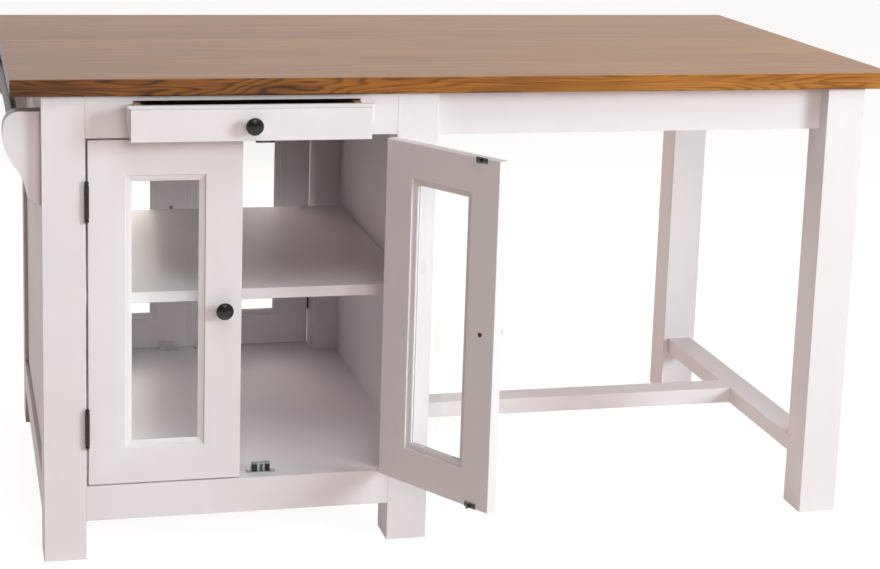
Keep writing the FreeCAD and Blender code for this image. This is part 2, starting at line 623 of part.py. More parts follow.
def moving_leaves():
    """The two leaves on the door's edge."""
    made = []
    for z in hinge_heights():
        fixed, moving = hinge_knuckles(z)
        made.append(hinge_leaf(z, 1, moving, fixed))
    return made


def fixed_hinges():
    """The two leaves on the leg, each with its pin and a pointed finial above and below."""
    made = []
    for z in hinge_heights():
        fixed, moving = hinge_knuckles(z)
        made.append(hinge_leaf(z, -1, fixed, moving))
        profile = [V(0, 0, z - FINIAL_LENGTH), V(BARREL_RADIUS, 0, z - FINIAL_LENGTH + FINIAL_SWELL),
                   V(FINIAL_WAIST_RADIUS, 0, z), V(PIN_RADIUS, 0, z)]
        top = z + BARREL_LENGTH
        profile += [V(p.x, 0, top + z - p.z) for p in reversed(profile)]
        face = Part.Face(Part.makePolygon(profile + profile[:1]))
        made.append(face.revolve(V(0, 0, 0), UP, 360))
    return made


def flip_to_top(shape):
    """Turn a floor catch over, to hang under the catch rail."""
    mirrored = shape.mirror(V(0, 0, 0), UP)
    return mirrored.translated(V(0, 0, FLOOR_TOP + TOP_RAIL_BOTTOM))


def roller_centres():
    y = DOOR_BACK + CATCH_DOOR_GAP + ROLLER_SETBACK
    return [V(CATCH_X + side * ROLLER_SPACING / 2, y, FLOOR_TOP) for side in (-1, 1)]


def catch_bodies():
    """A folded metal bracket at the floor and one at the top: a screw plate, a web and a cap."""
    y0 = DOOR_BACK + CATCH_DOOR_GAP
    y1 = y0 + CATCH_DEPTH
    half_plate = CATCH_PLATE_LENGTH / 2
    half_body = CATCH_BODY_WIDTH / 2
    top = FLOOR_TOP + CATCH_BODY_HEIGHT
    plate = box(CATCH_X - half_plate, CATCH_X + half_plate, y0, y1, FLOOR_TOP, FLOOR_TOP + CATCH_METAL)
    web = box(CATCH_X - half_body, CATCH_X + half_body, y1 - CATCH_METAL, y1, FLOOR_TOP, top)
    cap = box(CATCH_X - half_body, CATCH_X + half_body, y0, y1, top - CATCH_METAL, top)
    holes = [rod(SCREW_RADIUS, V(x, (y0 + y1) / 2, FLOOR_TOP), V(x, (y0 + y1) / 2, FLOOR_TOP + CATCH_METAL))
             for x in (CATCH_X - (half_plate + half_body) / 2, CATCH_X + (half_plate + half_body) / 2)]
    body = plate.fuse([web, cap]).removeSplitter().cut(holes)
    return [body, flip_to_top(body)]


def catch_rollers():
    """Two rollers in each bracket, one each side of the striker's tongue."""
    low = V(0, 0, CATCH_METAL + ROLLER_CLEARANCE)
    high = V(0, 0, CATCH_BODY_HEIGHT - CATCH_METAL - ROLLER_CLEARANCE)
    floor_pair = [rod(ROLLER_RADIUS, centre + low, centre + high) for centre in roller_centres()]
    return floor_pair + [flip_to_top(roller) for roller in floor_pair]


def door_strikers():
    """A plate with a spear-headed tongue at the foot and the head of the door's inner face."""
    z = FLOOR_TOP + STRIKER_OFFSET
    half_plate = STRIKER_PLATE_LENGTH / 2
    plate_top = DOOR_BACK + STRIKER_PLATE_THICKNESS
    plate = box(CATCH_X - half_plate, CATCH_X + half_plate, DOOR_BACK, plate_top,
                z - STRIKER_PLATE_HEIGHT / 2, z + STRIKER_PLATE_HEIGHT / 2)
    shank = STRIKER_TONGUE_THICKNESS / 2
    head = STRIKER_HEAD_WIDTH / 2
    tip = plate_top + STRIKER_TONGUE_LENGTH
    barb = tip - STRIKER_HEAD_LENGTH / 2
    neck = tip - STRIKER_HEAD_LENGTH
    right = [(shank, DOOR_BACK), (shank, neck), (head, barb), (shank / 2, tip)]
    left = [(-x, y) for x, y in reversed(right)]
    low = z - STRIKER_TONGUE_HEIGHT / 2
    tongue = prism([V(CATCH_X + x, y, low) for x, y in right + left], V(0, 0, STRIKER_TONGUE_HEIGHT))
    striker = plate.fuse(tongue).removeSplitter()
    return [striker, flip_to_top(striker)]


def hinge_pin(column, row):
    """The foot of a door's hinge line, seen from above."""
    x = BAY_LEFT + DOOR_EDGE if column == "left" else BAY_RIGHT - DOOR_EDGE
    y = FRONT - DOOR_FACE if row == "front" else REAR + DOOR_FACE
    return V(x, y, 0)


def place_door_piece(shape, column, row, open_angle=0.0):
    """Mirror a front left door piece to its own corner, and swing it open."""
    turn = -open_angle
    if column == "right":
        shape = shape.mirror(V(0, 0, 0), V(1, 0, 0))
        turn = -turn
    if row == "rear":
        shape = shape.mirror(V(0, 0, 0), V(0, 1, 0))
        turn = -turn
    if turn:
        shape = shape.rotated(V(0, 0, 0), UP, turn)
    return shape.translated(hinge_pin(column, row))


def doors():
    """The moving pieces of all four doors. Only the front right one stands open."""
    moving = {"frame": door_frame() + glazing_beads(), "glass": door_glass(), "knob": door_knob(),
              "hinge_leaves": moving_leaves(), "strikers": door_strikers()}
    made = {}
    for row in ("front", "rear"):
        for column in ("left", "right"):
            angle = DOOR_OPEN_ANGLE if (row, column) == ("front", "right") else 0.0
            for name, pieces in moving.items():
                node = "_".join([row, column, "door", name])
                made[node] = [place_door_piece(piece, column, row, angle) for piece in pieces]
    return made


def door_fittings():
    """The fixed halves of the hinges and catches of all four doors."""
    made = {"fixed_hinges": [], "roller_catches": [], "catch_rollers": []}
    fixed = {"fixed_hinges": fixed_hinges(), "roller_catches": catch_bodies(), "catch_rollers": catch_rollers()}
    for row in ("front", "rear"):
        for column in ("left", "right"):
            for name, pieces in fixed.items():
                made[name] += [place_door_piece(piece, column, row) for piece in pieces]
    return made


def towel_rail_axis(y):
    return V(LEFT - TOWEL_RAIL_REACH, y, FRAME_TOP - BRACKET_BELOW_TOP - TOWEL_RAIL_DROP)


def towel_bracket(front_face, socket_face, inwards):
    """A scrolled bracket on the left of a leg, with a blind socket for the rail."""
    top = FRAME_TOP - BRACKET_BELOW_TOP
    curve = Part.BSplineCurve()
    curve.interpolate([V(LEFT - BRACKET_REACH * x, front_face, top - BRACKET_HEIGHT * z)
                       for x, z in BRACKET_SCROLL])
    start, end = curve.value(curve.FirstParameter), curve.value(curve.LastParameter)
    corner = V(LEFT, front_face, top)
    outline = Part.Wire([Part.makeLine(corner, start), curve.toShape(), Part.makeLine(end, corner)])
    body = Part.Face(outline).extrude(V(0, BRACKET_THICKNESS, 0))
    socket = rod(TOWEL_RAIL_RADIUS + TOWEL_SOCKET_CLEARANCE, towel_rail_axis(socket_face),
                 towel_rail_axis(socket_face - inwards * TOWEL_SOCKET_DEPTH))
    return body.cut(socket)


def towel_rail_pieces():
    """Two brackets and the round rail that is held between them."""
    front_socket = FRONT + BRACKET_INSET + BRACKET_THICKNESS
    rear_socket = REAR - BRACKET_INSET - BRACKET_THICKNESS
    reach = TOWEL_SOCKET_DEPTH - TOWEL_SOCKET_END_GAP
    return {
        "towel_bracket_front": towel_bracket(FRONT + BRACKET_INSET, front_socket, 1),
        "towel_bracket_rear": towel_bracket(rear_socket, rear_socket, -1),
        "towel_rail": rod(TOWEL_RAIL_RADIUS, towel_rail_axis(front_socket - reach),
                          towel_rail_axis(rear_socket + reach)),
    }


def all_parts():
    """Every piece of the island by node name."""
    members = frame_members()
    mortises = [mortise for member in members.values() for mortise in member.mortises()]
    grooves = panel_grooves()
    parts = {"worktop": worktop()}
    parts.update(legs(mortises + grooves))
    parts.update({name: member.solid() for name, member in members.items()})
    parts["front_top_rail"] = parts["front_top_rail"].cut(drawer_slot())
    for name in ("front_bottom_rail", "rear_bottom_rail"):
        parts[name] = parts[name].cut(floor_rebates())
    for name in ("left_top_rail", "left_bottom_rail", "partition_top_rail"):
        parts[name] = parts[name].cut(grooves)
    long_mortises = members["long_stretcher"].mortises()
    parts["partition_bottom_rail"] = parts["partition_bottom_rail"].cut(grooves + long_mortises)
    parts["cross_stretcher"] = parts["cross_stretcher"].cut(long_mortises)
    parts["left_panel"] = side_panel(LEFT, -1)
    parts["partition_panel"] = side_panel(MIDDLE, 1)
    parts["cabinet_floor"] = cabinet_floor()
    parts["shelf"] = shelf()
    parts["shelf_cleats"] = shelf_cleats()
    parts["catch_rails"] = catch_rails()
    parts["drawer_left_runner"] = drawer_runner(BOX_LEFT, -1)
    parts["drawer_right_runner"] = drawer_runner(BOX_RIGHT, 1)
    parts["drawer_front"] = drawer_front()
    parts["drawer_bottom"] = drawer_bottom()
    parts["drawer_knob"] = drawer_knob()
    parts.update(drawer_box())
    parts.update(doors())
    parts.update(door_fittings())
    parts.update(towel_rail_pieces())
    return parts


def write(name, shape):
    """Write one node, as one solid or as a group of separate solids."""
    solids = [solid for piece in (shape if isinstance(shape, list) else [shape]) for solid in piece.Solids]
    node = solids[0] if len(solids) == 1 else Part.makeCompound(solids)
    node.exportStep(os.path.join("parts", name + ".step"))


os.makedirs("parts", exist_ok=True)
for part_name, part_shape in all_parts().items():
    write(part_name, part_shape)
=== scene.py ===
import math
import json

import bpy
import bmesh
from mathutils import Matrix, Vector


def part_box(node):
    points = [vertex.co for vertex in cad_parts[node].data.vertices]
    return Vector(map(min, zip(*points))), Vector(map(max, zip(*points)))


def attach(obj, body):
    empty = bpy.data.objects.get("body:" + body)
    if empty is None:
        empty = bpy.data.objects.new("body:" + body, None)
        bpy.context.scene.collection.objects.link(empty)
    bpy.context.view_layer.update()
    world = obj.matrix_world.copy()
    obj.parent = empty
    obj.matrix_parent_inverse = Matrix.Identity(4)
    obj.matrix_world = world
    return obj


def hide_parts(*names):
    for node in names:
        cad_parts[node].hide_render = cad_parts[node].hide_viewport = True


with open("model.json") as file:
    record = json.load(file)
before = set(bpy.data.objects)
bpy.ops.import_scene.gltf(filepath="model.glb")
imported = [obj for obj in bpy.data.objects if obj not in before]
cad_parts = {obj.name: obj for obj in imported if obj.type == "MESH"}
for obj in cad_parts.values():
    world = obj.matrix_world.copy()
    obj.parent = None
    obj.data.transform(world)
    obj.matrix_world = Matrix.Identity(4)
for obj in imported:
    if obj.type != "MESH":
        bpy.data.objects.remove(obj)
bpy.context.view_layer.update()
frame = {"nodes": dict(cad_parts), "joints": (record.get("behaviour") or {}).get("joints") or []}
nodes = frame["nodes"]

# Legs, rails, aprons and stretchers. Straight square-cut hardwood, tenoned and glued, then sprayed and
# brushed with a satin white paint that lets a little of the grain show as a ripple.
PAINT_WHITE = (0.83, 0.79, 0.818, 1)
PAINT_SHADE = (0.79, 0.748, 0.773, 1)
PAINT_EDGE_ROUND = 0.0009
PAINT_RIPPLE_DEPTH = 0.0005
PAINT_ROUGHNESS = 0.33


class Shade:
    """One value or colour of a material. Sums on it add Math nodes, and node() adds any other."""

    def __init__(self, tree, socket=None):
        self.tree = tree
        self.socket = socket

    def node(self, kind, settings=None, inputs=None, out=0):
        made = self.tree.nodes.new("ShaderNode" + kind)
        settings = dict(settings or {})
        stops = settings.pop("stops", None)
        for name, value in settings.items():
            setattr(made, name, value)
        if stops:
            ramp = made.color_ramp.elements
            while len(ramp) < len(stops):
                ramp.new(1.0)
            for element, (position, colour) in zip(ramp, stops):
                element.position = position
                element.color = colour
        for name, value in (inputs or {}).items():
            if isinstance(value, Shade):
                self.tree.links.new(value.socket, made.inputs[name])
            else:
                made.inputs[name].default_value = value
        return Shade(self.tree, made.outputs[out]) if made.outputs else None

    def sum(self, operation, a, b=0.0):
        return self.node("Math", {"operation": operation}, {0: a, 1: b})

    def __add__(self, other):
        return self.sum("ADD", self, other)

    def __radd__(self, other):
        return self.sum("ADD", other, self)

    def __sub__(self, other):
        return self.sum("SUBTRACT", self, other)

    def __rsub__(self, other):
        return self.sum("SUBTRACT", other, self)

    def __mul__(self, other):
        return self.sum("MULTIPLY", self, other)

    def __truediv__(self, other):
        return self.sum("DIVIDE", self, other)


def new_material(name):
    material = bpy.data.materials.new(name)
    material.use_nodes = True
    material.node_tree.nodes.clear()
    return material, Shade(material.node_tree)


def stretched(shade, point, scale):
    return shade.node("Mapping", {}, {"Vector": point, "Scale": scale})


def place(shade, scale=(1, 1, 1)):
    """The point on the piece, stretched."""
    return stretched(shade, shade.node("TexCoord", out="Object"), scale)


def mix(shade, factor, a, b):
    return shade.node("Mix", {"data_type": "RGBA"}, {0: factor, 6: a, 7: b}, out=2)


def surface(shade, **inputs):
    """Ends a material in one Principled shader."""
    sockets = {key.replace("_", " "): value for key, value in inputs.items()}
    shader = shade.node("BsdfPrincipled", {}, sockets)
    shade.node("OutputMaterial", {}, {"Surface": shader})


def noise(shade, point, scale, detail, roughness=0.5):
    inputs = {"Vector": point, "Scale": scale, "Detail": detail, "Roughness": roughness}
    return shade.node("TexNoise", {}, inputs, out="Fac")


def drawn_out(along, long, across):
    """The stretch of a pattern that is drawn out along X, Y or Z."""
    return tuple(long if axis == along else across for axis in "xyz")


def white_paint(name, along):
    """Painted wood whose grain runs along X, Y or Z."""
    material, shade = new_material(name)
    ripple = noise(shade, place(shade, drawn_out(along, 2, 60)), 1.6, 5, 0.62)
    mottle = noise(shade, place(shade), 5.0, 3)
    tone = (ripple * 0.14 + mottle * 0.86 - 0.3) * 2.0
    colour = mix(shade, tone, PAINT_SHADE, PAINT_WHITE)
    eased = shade.node("Bevel", {"samples": 4}, {"Radius": PAINT_EDGE_ROUND})
    skin = shade.node("Bump", {}, {"Strength": 0.045, "Distance": PAINT_RIPPLE_DEPTH, "Height": ripple,
                                   "Normal": eased})
    surface(shade, Base_Color=colour, Roughness=PAINT_ROUGHNESS + mottle * 0.16, Normal=skin)
    return material


def finish_node(name, material):
    slots = nodes[name].data.materials
    slots.clear()
    slots.append(material)


paint = {along: white_paint("white_paint_" + along, along) for along in "xyz"}
for name in ("leg_front_left", "leg_rear_left", "leg_front_middle", "leg_rear_middle", "leg_front_right",
             "leg_rear_right"):
    finish_node(name, paint["z"])
for name in ("front_top_rail", "rear_top_rail", "front_bottom_rail", "rear_bottom_rail", "front_apron",
             "rear_apron", "long_stretcher", "catch_rails"):
    finish_node(name, paint["x"])
for name in ("left_top_rail", "left_bottom_rail", "partition_top_rail", "partition_bottom_rail", "right_apron",
             "cross_stretcher"):
    finish_node(name, paint["y"])

# Panels, cabinet floor and shelf. Flat boards painted with the frame: the panels stand in grooves at the
# left end and at the partition, the floor lies in a rebate, and the fixed shelf rests on two battens.
finish_node("left_panel", paint["z"])
finish_node("partition_panel", paint["z"])
finish_node("cabinet_floor", paint["x"])
finish_node("shelf", paint["x"])
finish_node("shelf_cleats", paint["y"])

# Drawer. A solid moulded front, painted, on a plain bare-wood box that slides on two bare runners.
BARE_DARK = (0.34, 0.22, 0.12, 1)
BARE_LIGHT = (0.56, 0.41, 0.26, 1)


def bare_wood(name, along):
    material, shade = new_material(name)
    grain = noise(shade, place(shade, drawn_out(along, 3, 45)), 1.5, 5, 0.6)
    colour = shade.node("ValToRGB", {"stops": [(0.3, BARE_DARK), (0.7, BARE_LIGHT)]}, {"Fac": grain})
    relief = shade.node("Bump", {}, {"Strength": 0.2, "Distance": 0.0005, "Height": grain})
    surface(shade, Base_Color=colour, Roughness=0.6, Normal=relief)
    return material


bare = {along: bare_wood("bare_wood_" + along, along) for along in "xy"}
finish_node("drawer_front", paint["x"])
finish_node("drawer_back", bare["x"])
finish_node("drawer_bottom", bare["x"])
for name in ("drawer_left_side", "drawer_right_side", "drawer_left_runner", "drawer_right_runner"):
    finish_node(name, bare["y"])

# Doors. Stiles and rails tenoned together and painted over, so no joint shows, with a sunk bevel round one
# clear pane, which lies in a rebate behind it and is held by four round-nosed beads. Hung on pin hinges.
DOORS = ["front_left_door", "front_right_door", "rear_left_door", "rear_right_door"]
SIGHT_MARGINS = (0.079, 0.08, 0.077)
GLASS_SETBACK = 0.01
GLASS_THICKNESS = 0.004
GLASS_REBATE = 0.009
# Loops of the bevel and of the bead: how far out from the sight line, and how deep below the door's face.
BEVEL_LOOPS = [(0.0, 0.01), (0.0, 0.0084), (0.0098, 0.0034), (0.011, 0.0031), (0.0118, 0.0008), (0.013, 0.0)]
BEAD_LOOPS = [(0.0131, 0.0), (0.0125, 0.0006), (0.0125, 0.0048), (0.011, 0.005), (0.006, 0.0046),
              (0.0034, 0.005), (0.0018, 0.006), (0.001, 0.0075)]
BEAD_REACH = 0.001
EDGE_EASE = 0.0008
GLASS_TINT = (0.985, 0.995, 0.99, 1)
GLASS_SHADE = (0.96, 0.97, 0.965, 1)
OPEN_ANGLE = 122


def put_down(name):
    """Ends work on a piece: out of edit mode, its faces outwards, its place in its mesh."""
    piece = bpy.context.object
    bpy.ops.object.mode_set(mode="EDIT")
    bpy.ops.mesh.select_all(action="SELECT")
    bpy.ops.mesh.remove_doubles(threshold=0.00001)
    bpy.ops.mesh.normals_make_consistent(inside=False)
    bpy.ops.object.mode_set(mode="OBJECT")
    bpy.ops.object.transform_apply(location=True, rotation=True, scale=True)
    bpy.ops.object.shade_smooth_by_angle(angle=math.radians(35))
    piece.name = name
    return piece


def finish_piece(piece, material, slot, body, *stands_for):
    piece.data.materials.clear()
    piece.data.materials.append(material)
    if stands_for:
        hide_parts(*stands_for)
    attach(piece, body)


def moulded_ring(name, loops):
    """A closed ring run round an opening in the XZ plane: each loop is (left, right, low, high, y)."""
    left, right, low, high, y = loops[0]
    bpy.ops.object.select_all(action="DESELECT")
    bpy.ops.mesh.primitive_plane_add(size=1, location=((left + right) / 2, y, (low + high) / 2),
                                     rotation=(math.pi / 2, 0, 0))
    bpy.context.object.scale = (right - left, high - low, 1)
    bpy.ops.object.transform_apply(location=True, rotation=True, scale=True)
    bpy.ops.object.mode_set(mode="EDIT")
    bpy.ops.mesh.select_all(action="SELECT")
    bpy.ops.mesh.delete(type="ONLY_FACE")
    bpy.ops.mesh.select_mode(type="EDGE")
    bpy.ops.mesh.select_all(action="SELECT")
    for before, after in zip(loops, loops[1:] + loops[:1]):
        middle = Vector(((before[0] + before[1]) / 2, before[4], (before[2] + before[3]) / 2))
        target = Vector(((after[0] + after[1]) / 2, after[4], (after[2] + after[3]) / 2))
        wider = (after[1] - after[0]) / (before[1] - before[0])
        higher = (after[3] - after[2]) / (before[3] - before[2])
        bpy.ops.mesh.extrude_edges_move(TRANSFORM_OT_translate={"value": target - middle})
        bpy.ops.transform.resize(value=(wider, 1, higher), center_override=target)
    bpy.ops.object.mode_set(mode="OBJECT")
    return put_down(name)


def door_ring():
    """The front left door's frame, shut, from the pane's front land out over the bevel and round the back."""
    outer_low, outer_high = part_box("front_left_door_frame")
    face, back = outer_low.y, outer_high.y
    side, foot, head = SIGHT_MARGINS
    pane_front = face + GLASS_SETBACK
    pane_back = pane_front + GLASS_THICKNESS

    def sight(grow, y):
        return (outer_low.x + side - grow, outer_high.x - side + grow,
                outer_low.z + foot - grow, outer_high.z - head + grow, y)

    def outline(ease, y):
        return (outer_low.x + ease, outer_high.x - ease, outer_low.z + ease, outer_high.z - ease, y)

    bevel = [sight(out, face + depth) for out, depth in BEVEL_LOOPS]
    rim = [outline(EDGE_EASE, face), outline(0, face + EDGE_EASE), outline(0, back - EDGE_EASE),
           outline(EDGE_EASE, back)]
    bead = [sight(out, back - depth) for out, depth in BEAD_LOOPS] + [sight(BEAD_REACH, pane_back)]
    rebate = [sight(GLASS_REBATE, pane_back), sight(GLASS_REBATE, pane_front)]
    return moulded_ring("front_left_door_moulded_frame", bevel + rim + bead + rebate)


def hinge_pin(door):
    return [Vector(joint["pos_m"]) for joint in frame["joints"] if joint["name"] == door + "_hinge"][0]


def door_places():
    """For each door, the move that takes a piece of the front left door there, and one for the open bay."""
    low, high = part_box("front_top_rail")
    front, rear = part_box("leg_front_left")[0].y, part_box("leg_rear_left")[1].y
    middle = Vector(((low.x + high.x) / 2, (front + rear) / 2, 0))
    across = Matrix.Translation(middle) @ Matrix.Scale(-1, 4, (1, 0, 0)) @ Matrix.Translation(-middle)
    through = Matrix.Translation(middle) @ Matrix.Scale(-1, 4, (0, 1, 0)) @ Matrix.Translation(-middle)
    pin = hinge_pin("front_right_door")
    turn = Matrix.Rotation(math.radians(OPEN_ANGLE), 4, "Z")
    swing = Matrix.Translation(pin) @ turn @ Matrix.Translation(-pin)
    return {"front_left_door": Matrix(), "front_right_door": swing @ across, "rear_left_door": through,
            "rear_right_door": through @ across, "front_right_bay": across}


def copy_to(piece, name, move):
    """A like piece with its own mesh, its place in that mesh."""
    twin = piece.copy()
    twin.data = piece.data.copy()
    twin.name = name
    twin.data.name = name
    twin.data.transform(move)
    if move.determinant() < 0:
        twin.data.flip_normals()
    bpy.context.scene.collection.objects.link(twin)
    return twin


def clear_glass(name):
    """Window glass that lets the lamps' light through."""
    material, shade = new_material(name)
    smear = noise(shade, place(shade), 9.0, 2)
    pane = shade.node("BsdfPrincipled", {}, {"Base Color": GLASS_TINT, "Transmission Weight": 1.0, "IOR": 1.45,
                                             "Roughness": smear * 0.02})
    clear = shade.node("BsdfTransparent", {}, {"Color": GLASS_SHADE})
    lamps = shade.node("LightPath", out="Is Shadow Ray")
    either = shade.node("MixShader", {}, {0: lamps, 1: pane, 2: clear})
    shade.node("OutputMaterial", {}, {"Surface": either})
    return material


glass = clear_glass("clear_glass")
places = door_places()
ring = door_ring()
for door in DOORS:
    frame_ring = ring if door == "front_left_door" else copy_to(ring, door + "_moulded_frame", places[door])
    finish_piece(frame_ring, paint["z"], "white_paint", door, door + "_frame")
    finish_node(door + "_glass", glass)

# Knobs. Cast mushroom knobs in black enamel, one on the drawer and one on each door, each drawn up to the
# wood by a cross-head screw from behind.
KNOB_PROFILE = [(0.0, 0.0088), (0.0014, 0.0090), (0.0026, 0.0085), (0.0034, 0.0074), (0.0052, 0.0060),
                (0.0080, 0.0054), (0.0106, 0.0058), (0.0130, 0.0080), (0.0150, 0.0118), (0.0164, 0.0147),
                (0.0176, 0.0159), (0.0190, 0.0160), (0.0206, 0.0154), (0.0226, 0.0138), (0.0246, 0.0112),
                (0.0262, 0.0080), (0.0273, 0.0046), (0.0279, 0.0018), (0.0280, 0.0004)]
KNOB_SIDES = 48
KNOB_SCREW = (0.0045, 0.0022)
HEAD_PROFILE = [(0, 0.96), (0.3, 1.0), (0.62, 0.88), (0.88, 0.6), (1.0, 0.3)]
HEAD_SIDES = 24
RECESS_LENGTH = 1.1
RECESS_WIDTH = 0.22


def metal(name, colour, worn, roughness, metallic):
    """Cast or plated metal, or moulded nylon, with a fine uneven skin."""
    material, shade = new_material(name)
    cloud = noise(shade, place(shade), 70.0, 4)
    eased = shade.node("Bevel", {"samples": 4}, {"Radius": 0.0003})
    skin = shade.node("Bump", {}, {"Strength": 0.12, "Distance": 0.0003, "Height": cloud, "Normal": eased})
    surface(shade, Base_Color=mix(shade, (cloud - 0.35) * 2.0, colour, worn), Metallic=metallic,
            Roughness=roughness + cloud * 0.2, Normal=skin)
    return material


def turned(name, foot, along, profile, sides=32):
    """A piece turned about an axis: profile is (reach, radius) from its flat foot to its crown."""
    foot, along = Vector(foot), Vector(along)
    bpy.ops.object.select_all(action="DESELECT")
    bpy.ops.mesh.primitive_circle_add(vertices=sides, radius=profile[0][1], fill_type="NGON",
                                      location=foot + along * profile[0][0],
                                      rotation=along.to_track_quat("Z", "Y").to_euler())
    bpy.ops.object.transform_apply(location=True, rotation=True, scale=True)
    bpy.ops.object.mode_set(mode="EDIT")
    bpy.ops.mesh.select_all(action="SELECT")
    for (reach, radius), (further, wider) in zip(profile, profile[1:]):
        bpy.ops.mesh.extrude_region_move(TRANSFORM_OT_translate={"value": along * (further - reach)})
        bpy.ops.transform.resize(value=[wider / radius] * 3, center_override=foot + along * further)
    bpy.ops.object.mode_set(mode="OBJECT")
    return put_down(name)


def cross_head(name, foot, along, radius, height):
    """A screw's domed head with a cross recess."""
    foot, along = Vector(foot), Vector(along)
    head = turned(name, foot, along, [(height * up, radius * out) for up, out in HEAD_PROFILE], HEAD_SIDES)
    across = along.orthogonal()
    for arm in (across, across.cross(along)):
        bpy.ops.object.select_all(action="DESELECT")
        bpy.ops.mesh.primitive_cube_add(size=1, location=foot + along * height)
        cutter = bpy.context.object
        wide = [radius * (abs(a) * RECESS_LENGTH + (1 - abs(a)) * RECESS_WIDTH) for a in arm]
        cutter.scale = [w if abs(a) < 0.5 else height * 1.1 for w, a in zip(wide, along)]
        bpy.context.view_layer.objects.active = head
        recess = head.modifiers.new("recess", "BOOLEAN")
        recess.object = cutter
        recess.solver = "EXACT"
        bpy.ops.object.modifier_apply(modifier="recess")
        bpy.data.objects.remove(cutter)
    return head


def join(name, *pieces):
    """Pieces made one, under a new name."""
    bpy.ops.object.select_all(action="DESELECT")
    for piece in pieces:
        piece.select_set(True)
    bpy.context.view_layer.objects.active = pieces[0]
    bpy.ops.object.join()
    pieces[0].name = name
    return pieces[0]


iron = metal("black_iron", (0.008, 0.006, 0.006, 1), (0.022, 0.018, 0.017, 1), 0.2, 0.0)
dark_iron = metal("dark_iron", (0.05, 0.048, 0.047, 1), (0.1, 0.095, 0.09, 1), 0.3, 0.8)


def knob_place(knob, panel):
    """Where a knob stands on its panel's face, and where its screw bears on the back."""
    low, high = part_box(knob)
    return [Vector(((low.x + high.x) / 2, side.y, (low.z + high.z) / 2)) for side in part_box(panel)]


foot, back = knob_place("front_left_door_knob", "front_left_door_frame")
knob = turned("front_left_door_turned_knob", foot, (0, -1, 0), KNOB_PROFILE, KNOB_SIDES)
screw = cross_head("front_left_door_knob_screw", back, (0, 1, 0), *KNOB_SCREW)
moves = {door: (places[door], places[door]) for door in DOORS[1:]}
drawer_foot, drawer_back = knob_place("drawer_knob", "drawer_front")
moves["drawer"] = (Matrix.Translation(drawer_foot - foot), Matrix.Translation(drawer_back - back))
for body, (knob_move, screw_move) in moves.items():
    twin = copy_to(knob, body + "_turned_knob", knob_move)
    finish_piece(twin, iron, "black_iron", body, body + "_knob")
    twin = copy_to(screw, body + "_knob_screw", screw_move)
    finish_piece(twin, dark_iron, "black_iron", body, body + "_knob")
finish_piece(knob, iron, "black_iron", "front_left_door", "front_left_door_knob")
finish_piece(screw, dark_iron, "black_iron", "front_left_door", "front_left_door_knob")

# Hinges. Black enamelled butt hinges, two to a door: two knuckles on the leg's leaf and one on the door's,
# rolled round a pin that ends in an acorn finial above and below.
BARREL_RADIUS = 0.0042
BARREL_LENGTH = 0.06
LEAF_THICKNESS = 0.0015
KNUCKLE_GAP = 0.0003
KNUCKLE_EASE = 0.00035
LEAF_EASE = 0.0003
WEB_EASE = 0.0001
WEB_SETBACK = 0.0002
FINIAL_PROFILE = [(-0.0004, 0.0020), (0.0004, 0.0026), (0.0014, 0.0028), (0.0024, 0.0036), (0.0038, 0.0042),
                  (0.0054, 0.0041), (0.0070, 0.0032), (0.0086, 0.0020), (0.0100, 0.0011), (0.0109, 0.0004)]
PIN_PROFILE = [(0.001, 0.0019), (0.002, 0.002), (BARREL_LENGTH - 0.001, 0.0019)]
PIN_SIDES = 16


def knuckle(name, foot, length):
    tight = BARREL_RADIUS - KNUCKLE_EASE
    return turned(name, foot, (0, 0, 1), [(0, tight), (KNUCKLE_EASE, BARREL_RADIUS),
                                          (length - KNUCKLE_EASE, BARREL_RADIUS), (length, tight)])


def eased_block(name, low, high, ease, segments=2):
    """A block at its size and place with its edges rounded over."""
    low, high = Vector(low), Vector(high)
    bpy.ops.object.select_all(action="DESELECT")
    bpy.ops.mesh.primitive_cube_add(size=1, location=(low + high) / 2)
    bpy.context.object.scale = high - low
    bpy.ops.object.transform_apply(location=True, rotation=True, scale=True)
    bpy.ops.object.mode_set(mode="EDIT")
    bpy.ops.mesh.select_all(action="SELECT")
    bpy.ops.mesh.bevel(offset=ease, segments=segments, affect="EDGES")
    bpy.ops.object.mode_set(mode="OBJECT")
    return put_down(name)


def hinge(z, side, own, pin, leg):
    """Half a hinge: own is the (foot, length) of its knuckles, side is -1 on the leg and 1 on the door."""
    outer = pin.x + side * abs(pin.x - leg)
    left, right = sorted((outer, outer - side * LEAF_THICKNESS))
    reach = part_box("front_left_door_hinge_leaves")[1].y
    leaf_low = (left, pin.y + BARREL_RADIUS + KNUCKLE_GAP, z)
    parts = [eased_block("leaf", leaf_low, (right, reach, z + BARREL_LENGTH), LEAF_EASE)]
    for foot, length in own:
        parts.append(knuckle("knuckle", (pin.x, pin.y, foot), length))
        web_low = (left, pin.y, foot + WEB_SETBACK)
        web_high = (right, pin.y + BARREL_RADIUS + 2 * KNUCKLE_GAP, foot + length - WEB_SETBACK)
        parts.append(eased_block("web", web_low, web_high, WEB_EASE))
    if side < 0:
        parts.append(turned("finial", (pin.x, pin.y, z), (0, 0, -1), FINIAL_PROFILE))
        parts.append(turned("finial", (pin.x, pin.y, z + BARREL_LENGTH), (0, 0, 1), FINIAL_PROFILE))
        parts.append(turned("pin", (pin.x, pin.y, z), (0, 0, 1), PIN_PROFILE, PIN_SIDES))
    return join("half_hinge", *parts)


def bay_of(door):
    """The place of a door's fixed fittings: that of the shut door."""
    return places["front_right_bay" if door == "front_right_door" else door]


